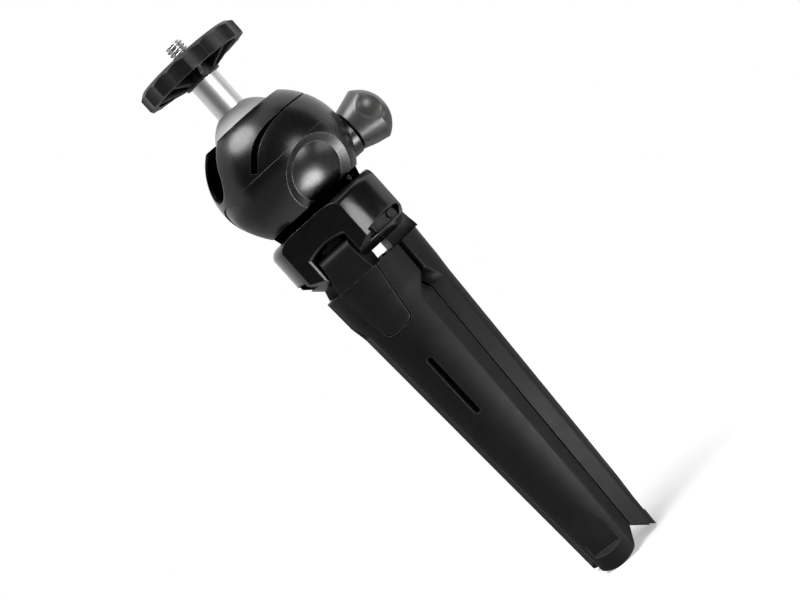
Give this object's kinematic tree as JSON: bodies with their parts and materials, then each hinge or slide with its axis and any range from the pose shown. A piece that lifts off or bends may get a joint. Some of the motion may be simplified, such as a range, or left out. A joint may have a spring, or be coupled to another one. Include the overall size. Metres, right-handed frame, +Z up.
{
  "type": "mini tripod",
  "caption": "Mini tripod with a ball head: scalloped locking disc under the camera screw, lock knob on the side and folding moulded legs.",
  "frame": {"origin": "on the tripod's centre line, in the plane of the soles of the folded legs", "axes": "+Z up along the centre line towards the camera screw; -Y is the outward direction of leg 1; the stem's slot lies between -X and -Y and the lock knob points between +X and +Y"},
  "size_m": [0.0585, 0.0515, 0.2182],
  "materials": {
    "hub_black": "gloss",
    "housing_black": "satin gloss",
    "arm_black": "gloss",
    "leg_black": "matt",
    "ring_black": "satin",
    "knob_grey": "matt",
    "disc_grey": "matt",
    "bright_metal": "satin",
    "screw_steel": "machined",
    "pad_rubber": "matt",
    "cup_plastic": "moulded"
  },
  "bodies": {
    "head_base": {"leg_hub": "hub_black", "hinge_pin_1": "screw_steel", "hinge_pin_2": "screw_steel", "hinge_pin_3": "screw_steel", "neck_ring": "ring_black", "neck_set_screw": "screw_steel", "base_bolt": "screw_steel", "lower_housing": "housing_black", "upper_housing": "housing_black", "housing_screws": "screw_steel", "knob_collar": "ring_black"},
    "leg_1": {"leg_arm_1": "arm_black", "leg_shell_1": "leg_black", "leg_screws_1": "screw_steel", "foot_pad_1": "pad_rubber"},
    "leg_2": {"leg_arm_2": "arm_black", "leg_shell_2": "leg_black", "leg_screws_2": "screw_steel", "foot_pad_2": "pad_rubber"},
    "leg_3": {"leg_arm_3": "arm_black", "leg_shell_3": "leg_black", "leg_screws_3": "screw_steel", "foot_pad_3": "pad_rubber"},
    "ball": {"ball": "bright_metal"},
    "camera_stem": {"stem": "bright_metal", "camera_screw": "screw_steel"},
    "disc": {"locking_disc": "disc_grey", "disc_pad": "pad_rubber"},
    "knob": {"lock_knob": "knob_grey", "lock_screw": "screw_steel"},
    "cup": {"pressure_cup": "cup_plastic"}
  },
  "joints": [
    {"name": "leg_1_fold", "type": "hinge", "parent": "head_base", "child": "leg_1", "pos_m": [0, -0.014, 0.1321], "axis": [-1, 0, 0], "range_deg": [0, 45]},
    {"name": "leg_2_fold", "type": "hinge", "parent": "head_base", "child": "leg_2", "pos_m": [0.01212, 0.007, 0.1321], "axis": [0.5, -0.866, 0], "range_deg": [0, 45]},
    {"name": "leg_3_fold", "type": "hinge", "parent": "head_base", "child": "leg_3", "pos_m": [-0.01212, 0.007, 0.1321], "axis": [0.5, 0.866, 0], "range_deg": [0, 45]},
    {"name": "ball_tilt", "type": "hinge", "parent": "head_base", "child": "ball", "pos_m": [0, 0, 0.178], "axis": [0.7071, -0.7071, 0], "range_deg": [-35, 90]},
    {"name": "stem_turn", "type": "hinge", "parent": "ball", "child": "camera_stem", "pos_m": [0, 0, 0.178], "axis": [0, 0, 1], "continuous": true},
    {"name": "disc_turn", "type": "hinge", "parent": "camera_stem", "child": "disc", "pos_m": [0, 0, 0.2089], "axis": [0, 0, 1], "continuous": true},
    {"name": "knob_turn", "type": "hinge", "parent": "head_base", "child": "knob", "pos_m": [0.02457, 0.01721, 0.1601], "axis": [0.8192, 0.5736, 0], "range_deg": [0, 270]},
    {"name": "cup_release", "type": "slide", "parent": "head_base", "child": "cup", "axis": [0, 0, 1], "range_m": [-0.0006, 0]}
  ],
  "couplings": [
    {"joint": "knob_turn", "follows": "cup_release", "rad_per_m": -7850}
  ]
}
